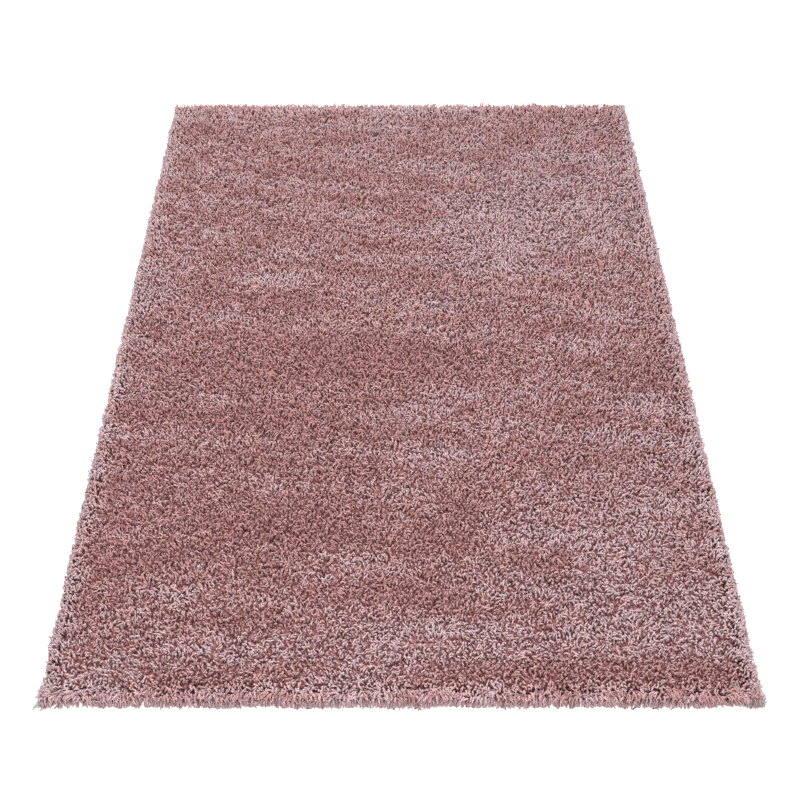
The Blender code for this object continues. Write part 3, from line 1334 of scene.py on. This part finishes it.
@dataclass
class RimLocks(YarnLayer):
    """The locks of the rim: their yarns come over its shoulder side by side and hang towards the floor."""

    name: str = "rim_locks"
    shape: YarnShape = YarnShape((0.0, 0.36, 0.68, 1.0), (0.85, 1.0, 0.95, 0.75), starts_at=0.30)
    toning: Toning = Toning(middle=0.42, brushed=0.30, side_light=0.45, scatter=0.12)
    girth: Span = (0.80, 1.05)
    locks: int = 620
    yarns: int = 5
    roots: Span = (0.006, 0.028)
    root_crowding: float = 1.3
    turn: float = 0.75
    turn_most: float = 1.2
    yarn_turn: float = 0.45
    yarn_stray: float = 0.0055
    yarn_tone: float = 0.13
    reach_stray: Span = (-0.005, 0.004)
    run_least: float = 0.004
    run_most: float = 0.030
    run_share: Span = (0.6, 1.1)
    half_share: Span = (0.45, 0.75)
    root_rise: Span = (0.45, 0.80)
    half_rise: Span = (0.74, 0.96)
    lift_crowding: float = 2.5
    lift_scatter: float = 0.10
    hanging_height: Span = (0.003, 0.033)
    lying_rise: Span = (0.78, 0.90)
    lying_inset: float = 0.014
    sway: float = 0.0036

    def one_yarn_each(
        self, x: Points, y: Points, lay: Points, turn: Points, lift: Points, tone: Points
    ) -> Strands:
        """Adds one yarn to every lock.

        Args:
            x: The locks' places across the rug.
            y: The locks' places along the rug.
            lay: Their lay.
            turn: How far each turns from the straight way out.
            lift: How far its tips stay up from the floor, from 0 to 1.
            tone: Its tone.

        Returns:
            The yarns.
        """
        form, draw, locks = self.form, self.form.draw, self.locks
        step_x, step_y = draw.normal(0.0, self.yarn_stray, (2, locks))
        root_x, root_y = x + step_x, y + step_y
        way_x, way_y = form.rim_way(x, y, turn + draw.normal(0.0, self.yarn_turn, locks))
        free = form.way_to_edge(root_x, root_y, way_x, way_y) + draw.uniform(*self.reach_stray, locks)
        run = np.clip(free, self.run_least, self.run_most * draw.uniform(*self.run_share, locks))
        half = run * draw.uniform(*self.half_share, locks)
        half_x, half_y = root_x + way_x * half, root_y + way_y * half
        tip_x, tip_y = root_x + way_x * run, root_y + way_y * run
        root_z = form.rim_profile(inset_of(root_x, root_y)) * draw.uniform(*self.root_rise, locks)
        half_z = form.rim_profile(inset_of(half_x, half_y)) * draw.uniform(*self.half_rise, locks)
        lift = np.clip(lift + draw.normal(0.0, self.lift_scatter, locks), 0.0, 1.0)
        tip_inset = inset_of(tip_x, tip_y)
        hanging = nearness(tip_inset, self.lying_inset)
        lying_z = form.rim_profile(tip_inset) * between(self.lying_rise, lift)
        tip_z = between(self.hanging_height, lift) * hanging + lying_z * (1.0 - hanging)
        root = np.stack([root_x, root_y, root_z], axis=1)
        tip = np.stack([tip_x, tip_y, tip_z], axis=1)
        knee = 2.0 * np.stack([half_x, half_y, half_z], axis=1) - 0.5 * (root + tip)
        radius = form.yarn_radius * draw.uniform(*self.girth, locks)
        yarn_tone = tone + draw.normal(0.0, self.yarn_tone, locks)
        sway = draw.normal(0.0, self.sway, locks)
        return Strands(root, knee, tip, sway, radius, yarn_tone, form.cast(x, y, lay))

    def strands(self) -> Strands:
        """Lays out the locks.

        Returns:
            The yarns of every lock.
        """
        form, draw, locks = self.form, self.form.draw, self.locks
        place = (np.arange(locks) + draw.uniform(-0.5, 0.5, locks)) / locks * PERIMETER
        inset = between(self.roots, draw.random(locks) ** self.root_crowding)
        x, y = form.walk_rim(place % PERIMETER, inset)
        lay = form.lay(x, y)
        turn = np.clip(draw.normal(0.0, self.turn, locks), -self.turn_most, self.turn_most)
        lift = draw.random(locks) ** self.lift_crowding
        tone = self.toning.of(lay, form.beside(x), draw)
        parts = [self.one_yarn_each(x, y, lay, turn, lift, tone) for _ in range(self.yarns)]
        return form.held(Strands.together(parts))


@dataclass
class RimFoot(YarnLayer):
    """Short yarn behind the locks: most of it comes out to the floor, and the rest fills the rim's crest."""

    name: str = "rim_foot"
    shape: YarnShape = YarnShape((0.0, 1.0), (1.0, 0.80))
    toning: Toning = Toning(middle=0.50, brushed=0.25, side_light=0.35, scatter=0.14)
    girth: Span = (1.00, 1.22)
    yarns: int = 7000
    roots: Span = (0.008, 0.018)
    crest_share: float = 0.24
    turn: float = 0.60
    reach_stray: Span = (-0.004, 0.002)
    run: Span = (0.004, 0.022)
    crest_run_share: Span = (0.2, 1.0)
    crest_root: Span = (0.018, 0.034)
    foot_root: Span = (0.008, 0.030)
    crest_tip: Span = (0.038, 0.045)
    foot_tip: Span = (0.003, 0.012)
    crest_shade: float = 0.35

    def strands(self) -> Strands:
        """Lays out the yarn.

        Returns:
            Every strand.
        """
        form, draw, count = self.form, self.form.draw, self.yarns
        place = draw.uniform(0.0, PERIMETER, count)
        x, y = form.walk_rim(place, draw.uniform(*self.roots, count))
        crest = draw.random(count) < self.crest_share
        lay, beside = form.lay(x, y), form.beside(x)
        way_x, way_y = form.rim_way(x, y, draw.normal(0.0, self.turn, count))
        free = form.way_to_edge(x, y, way_x, way_y) + draw.uniform(*self.reach_stray, count)
        run = np.clip(free, *self.run) * np.where(crest, draw.uniform(*self.crest_run_share, count), 1.0)
        heights = ((self.crest_root, self.foot_root), (self.crest_tip, self.foot_tip))
        root_z, tip_z = (
            np.where(crest, draw.uniform(*on_crest, count), draw.uniform(*at_foot, count))
            for on_crest, at_foot in heights
        )
        root = np.stack([x, y, root_z], axis=1)
        tip = np.stack([x + way_x * run, y + way_y * run, tip_z], axis=1)
        radius = form.yarn_radius * draw.uniform(*self.girth, count)
        tone = self.toning.of(lay, beside, draw) - self.crest_shade * crest * (1.0 - beside)
        cool = form.cast(x, y, lay)
        return form.held(Strands(root, (root + tip) / 2, tip, np.zeros(count), radius, tone, cool))


@dataclass
class MattedRoots:
    """The tangle between the roots: a lumpy closed slab, rounded down at its rim."""

    draw: Draw
    name: str = "matted_roots"
    inset: Span = (0.017, 0.013)
    height: float = 0.024
    rim_height: float = 0.005
    underside: float = 0.0026
    round_reach: float = 0.012
    lumps: Ripple = Ripple(0.0018, 0.05, 0.05)
    cells: tuple[int, int] = (60, 86)

    def top(self) -> Points:
        """Shapes the slab's upper side.

        Returns:
            Its points, as row by column by axis.
        """
        half_x, half_y = HALF_WIDTH - self.inset[0], HALF_LENGTH - self.inset[1]
        across, along = (count + 1 for count in self.cells)
        x, y = np.meshgrid(np.linspace(-half_x, half_x, across), np.linspace(-half_y, half_y, along))
        inner = np.minimum(half_x - np.abs(x), half_y - np.abs(y))
        round_down = np.sqrt(1.0 - nearness(inner, self.round_reach) ** 2)
        rise = self.height - self.rim_height + self.lumps.at(x, y, self.draw)
        return np.stack([x, y, self.rim_height + rise * round_down], axis=2)

    def build(self) -> list[bpy.types.Object]:
        """Closes the slab with a skirt and a flat underside.

        Returns:
            The new object, alone in a list.
        """
        grid = self.top()
        top = grid.reshape(-1, 3)
        number = np.arange(len(top)).reshape(grid.shape[:2])
        ring = [*number[0, :], *number[1:, -1], *number[-1, -2::-1], *number[-2:0:-1, 0]]
        ring = [int(spot) for spot in ring]
        below = {spot: len(top) + order for order, spot in enumerate(ring)}
        skirt = top[ring] * (1.0, 1.0, 0.0) + (0.0, 0.0, self.underside)
        faces = grid_faces(grid.shape[:2])
        for first, second in zip(ring, [*ring[1:], ring[0]]):
            faces.append([second, first, below[first], below[second]])
        faces.append([below[spot] for spot in reversed(ring)])
        mesh = bpy.data.meshes.new(self.name)
        mesh.from_pydata([*top.tolist(), *skirt.tolist()], [], faces)
        mesh.shade_smooth()
        mesh.validate()
        return [in_scene(bpy.data.objects.new(self.name, mesh))]


@dataclass
class Pile:
    """The standing yarn in its four layers, and the tangle of its roots."""

    draw: Draw = field(default_factory=Seed.PILE.draw)

    def build(self) -> list[bpy.types.Object]:
        """Builds and dresses every piece. Their order is that of the random draws.

        Returns:
            The pieces.
        """
        form = PileForm(self.draw)
        pile_yarn, rim_yarn = PILE_YARN.material(), RIM_YARN.material()
        layers = [
            (FieldYarn(form).build(), pile_yarn),
            (UnderYarn(form).build(), pile_yarn),
            (RimLocks(form).build(), rim_yarn),
            (RimFoot(form).build(), rim_yarn),
            (MattedRoots(self.draw).build(), MATTED_ROOTS.material()),
        ]
        pieces = [dress(piece, finish) for layer, finish in layers for piece in layer]
        for piece in pieces:
            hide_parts("pile")
        return pieces


# ------------------------------------------------------------------ ground cloth


class HemTuft(NamedTuple):
    """A loose tuft of the front hem: where it is, how it comes out to the floor and its number of threads.

    The place is its middle, and the spread is half its width. The inset says how far in it starts.
    """

    x: float
    spread: float
    inset: float
    run_x: float
    run_y: float
    height: float
    threads: int


HEM_TUFTS = (
    HemTuft(-0.790, 0.005, 0.012, -0.018, -0.022, 0.009, 16),
    HemTuft(0.788, 0.010, 0.024, 0.014, -0.018, 0.026, 26),
    HemTuft(0.782, 0.014, 0.010, 0.012, -0.010, 0.016, 34),
    HemTuft(0.752, 0.012, 0.008, 0.003, -0.009, 0.010, 16),
    HemTuft(0.727, 0.008, 0.006, 0.002, -0.007, 0.012, 10),
    HemTuft(0.688, 0.010, 0.006, -0.002, -0.007, 0.012, 12),
    HemTuft(0.776, 0.020, 0.003, 0.006, -0.007, 0.013, 36),
    HemTuft(0.465, 0.030, 0.004, 0.001, -0.006, 0.007, 22),
    HemTuft(0.400, 0.024, 0.004, 0.001, -0.006, 0.007, 18),
    HemTuft(0.007, 0.010, 0.005, 0.000, -0.006, 0.009, 9),
    HemTuft(-0.054, 0.008, 0.005, 0.002, -0.006, 0.010, 9),
    HemTuft(-0.083, 0.008, 0.006, -0.002, -0.006, 0.012, 10),
    HemTuft(-0.360, 0.010, 0.005, 0.001, -0.006, 0.007, 8),
    HemTuft(-0.610, 0.012, 0.005, -0.002, -0.006, 0.007, 8),
)


@dataclass
class HemThreads:
    """The loose threads of the hem, which rise a little over the pile's edge and come down to the floor."""

    draw: Draw
    shape: YarnShape = YarnShape((0.0, 0.3, 0.6, 0.9), (0.9, 1.0, 0.9, 0.7))
    radius: float = 0.0018
    girth: Span = (0.8, 1.2)
    inset_stray: float = 0.003
    root_share: Span = (0.3, 1.0)
    run_share: Span = (0.7, 1.1)
    run_scatter: float = 0.0022
    tip_height: Span = (0.002, 0.006)
    knee_share: float = 0.6
    knee_rise: Span = (0.002, 0.007)
    tone: float = 0.55
    tone_scatter: float = 0.18
    sway: float = 0.0015

    def of_tuft(self, tuft: HemTuft) -> Strands:
        """Lays out one tuft.

        Args:
            tuft: Which one.

        Returns:
            Its threads.
        """
        draw, count = self.draw, tuft.threads
        x = tuft.x + draw.uniform(-tuft.spread, tuft.spread, count)
        y = -HALF_LENGTH + tuft.inset + draw.uniform(-self.inset_stray, self.inset_stray, count)
        root = np.stack([x, y, draw.uniform(*self.root_share, count) * tuft.height], axis=1)
        share = draw.uniform(*self.run_share, count)
        run = np.stack([tuft.run_x * share, tuft.run_y * share], axis=1)
        run = run + draw.normal(0.0, self.run_scatter, (count, 2))
        tip = np.column_stack([root[:, :2] + run, draw.uniform(*self.tip_height, count)])
        knee_z = root[:, 2] + draw.uniform(*self.knee_rise, count)
        knee = np.column_stack([root[:, :2] + self.knee_share * run, knee_z])
        radius = self.radius * draw.uniform(*self.girth, count)
        tone, cool = draw.normal(self.tone, self.tone_scatter, count), draw.random(count)
        return Strands(root, knee, tip, draw.normal(0.0, self.sway, count), radius, tone, cool)

    def build(self) -> bpy.types.Object:
        """Makes all the threads as one piece."""
        strands = Strands.together([self.of_tuft(tuft) for tuft in HEM_TUFTS])
        return YarnMesh(self.shape).build("hem_threads", strands, self.draw)


@dataclass
class GroundCloth:
    """The woven sheet under the pile, with the ears and loose threads of its hem at the front corners."""

    name: str = "ground_cloth_sheet"
    inset: float = 0.024
    thickness: float = 0.002
    ear_reach: float = 0.018
    ear_spread: float = 0.030
    ear_sharpness: float = 1.5
    ear_forward: float = 0.85
    hem_width: float = 1e-6
    hem_ripples: tuple[Ripple, Ripple] = (Ripple(0.0012, 0.09, 0.09), Ripple(0.0012, 0.08, 0.08))
    cells: tuple[int, int] = (40, 58)
    draw: Draw = field(default_factory=Seed.CLOTH.draw)

    def flat_size(self) -> Span:
        """The size the sheet was cut to, without its ears."""
        return 2.0 * (HALF_WIDTH - self.inset), 2.0 * (HALF_LENGTH - self.inset)

    def points(self) -> Points:
        """Lays out the sheet's upper side: a wandering hem, drawn out to an ear at each front corner.

        Returns:
            Its points, as row by column by axis.
        """
        half_x, half_y = (size / 2 for size in self.flat_size())
        across, along = (count + 1 for count in self.cells)
        x, y = np.meshgrid(np.linspace(-half_x, half_x, across), np.linspace(-half_y, half_y, along))
        hem = np.minimum(half_x - np.abs(x), half_y - np.abs(y)) < self.hem_width
        ripple_x, ripple_y = self.hem_ripples
        x = x + np.where(hem, ripple_x.at(x, y, self.draw), 0.0)
        y = y + np.where(hem, ripple_y.at(y, x, self.draw), 0.0)
        away = np.hypot(np.abs(x) - half_x, y + half_y)
        pull = self.ear_reach * nearness(away, self.ear_spread) ** self.ear_sharpness
        x, y = x + np.sign(x) * pull, y - self.ear_forward * pull
        return np.stack([x, y, np.full_like(x, self.thickness)], axis=2)

    def sheet(self) -> bpy.types.Object:
        """Makes the sheet.

        Returns:
            The new object, with its thickness below its upper side.
        """
        points = self.points()
        mesh = bpy.data.meshes.new(self.name)
        mesh.from_pydata(points.reshape(-1, 3).tolist(), [], grid_faces(points.shape[:2]))
        piece = in_scene(bpy.data.objects.new(self.name, mesh))
        solid = piece.modifiers.new("thickness", "SOLIDIFY")
        solid.thickness = self.thickness
        solid.offset = -1.0
        return piece

    def build(self) -> list[bpy.types.Object]:
        """Builds and dresses the sheet and its threads.

        Returns:
            The two pieces.
        """
        cloth = dress(self.sheet(), GROUND_WEAVE.material())
        threads = dress(HemThreads(self.draw).build(), HEM_YARN.material())
        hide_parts("ground_cloth")
        return [cloth, threads]


# ------------------------------------------------------------------ studio


class Softbox(NamedTuple):
    """A square soft light: its name, where it hangs, how wide it is and how strong."""

    name: str
    place: Place
    size: float
    power: float


@dataclass
class Studio:
    """A plain pale floor, soft light all round, and the camera at the photograph's angle."""

    camera_place: Place = (0.0, -2.363, 2.326)
    camera_pitch: float = math.radians(47.48)
    lens: float = 51.6
    sensor: float = 36.0
    sight: float = 60.0
    floor_half: float = 12.0
    floor_level: float = -0.0006
    floor_grey: float = 0.93
    floor_glow: float = 0.50
    sky: float = 0.87
    softboxes: tuple[Softbox, Softbox] = (
        Softbox("top_softbox", (-0.9, 0.6, 3.4), 2.4, 112.0),
        Softbox("front_fill", (0.4, -3.1, 2.9), 2.0, 72.0),
    )

    def floor(self) -> None:
        """Lays the floor, which isn't part of the rug."""
        half, level = self.floor_half, self.floor_level
        mesh = bpy.data.meshes.new("floor")
        corners = [(-half, -half, level), (half, -half, level), (half, half, level), (-half, half, level)]
        mesh.from_pydata(corners, [], [(0, 1, 2, 3)])
        material, _, shader = new_material("studio_floor", roughness=0.9, specular=0.0)
        shader.inputs["Base Color"].default_value = opaque((self.floor_grey,) * 3)
        shader.inputs["Emission Color"].default_value = opaque((1.0, 1.0, 1.0))
        shader.inputs["Emission Strength"].default_value = self.floor_glow
        mesh.materials.append(material)
        in_scene(bpy.data.objects.new("floor", mesh))

    def world(self) -> None:
        """Sets a plain white surround."""
        world = bpy.data.worlds.new("studio_surround")
        world.use_nodes = True
        background = world.node_tree.nodes["Background"]
        background.inputs["Color"].default_value = opaque((1.0, 1.0, 1.0))
        background.inputs["Strength"].default_value = self.sky
        bpy.context.scene.world = world

    def light(self, softbox: Softbox) -> None:
        """Hangs a soft light, aimed at the middle of the rug.

        Args:
            softbox: Which one.
        """
        data = bpy.data.lights.new(softbox.name, "AREA")
        data.size = softbox.size
        data.energy = softbox.power
        lamp = in_scene(bpy.data.objects.new(softbox.name, data))
        lamp.location = softbox.place
        lamp.rotation_euler = (-Vector(softbox.place)).to_track_quat("-Z", "Y").to_euler()

    def camera(self) -> None:
        """Sets up the camera, where the photograph was taken from."""
        data = bpy.data.cameras.new("photo_camera")
        data.lens = self.lens
        data.sensor_width = self.sensor
        data.clip_end = self.sight
        camera = in_scene(bpy.data.objects.new("photo_camera", data))
        camera.location = self.camera_place
        camera.rotation_euler = (0.5 * math.pi - self.camera_pitch, 0.0, 0.0)
        bpy.context.scene.camera = camera

    def build(self) -> None:
        """Builds the studio."""
        self.floor()
        self.world()
        for softbox in self.softboxes:
            self.light(softbox)
        self.camera()
        bpy.context.scene.view_settings.view_transform = "Standard"
        bpy.context.scene.view_settings.look = "None"


def main() -> None:
    """Builds the studio, the ground cloth and the pile, in that order, and reports each piece."""
    logging.basicConfig(level=logging.INFO, format="%(name)s: %(message)s")
    Studio().build()
    GroupShelf().build()
    for piece in [*GroundCloth().build(), *Pile().build()]:
        mesh = piece.data
        LOG.info("%s: %d triangles", piece.name, len(mesh.loops) - 2 * len(mesh.polygons))


if __name__ == "__main__":
    main()
